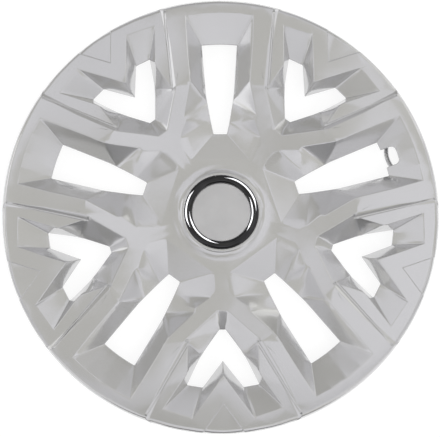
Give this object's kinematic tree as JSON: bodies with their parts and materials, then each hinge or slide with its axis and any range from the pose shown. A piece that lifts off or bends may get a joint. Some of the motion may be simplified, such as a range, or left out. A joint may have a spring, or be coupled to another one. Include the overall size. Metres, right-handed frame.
{
  "type": "wheel cover",
  "caption": "Round clip-on wheel cover with faceted split spokes, long and forked windows, a trim ring at the hub and clip legs with a spring wire behind.",
  "frame": {"origin": "on the wheel axis, level with the tips of the clip legs", "axes": "+Z along the wheel axis, out of the visible face; +Y towards a long window; the valve notch is eighteen degrees from +X"},
  "size_m": [0.4, 0.4, 0.0363],
  "materials": {
    "silver_face": "glossy silver lacquer",
    "ring_chrome": "mirror",
    "disc_silver": "satin",
    "wire_steel": "bright"
  },
  "bodies": {
    "root": {"cover": "silver_face", "trim_ring": "ring_chrome", "centre_disc": "disc_silver", "retaining_wire": "wire_steel"}
  },
  "joints": []
}
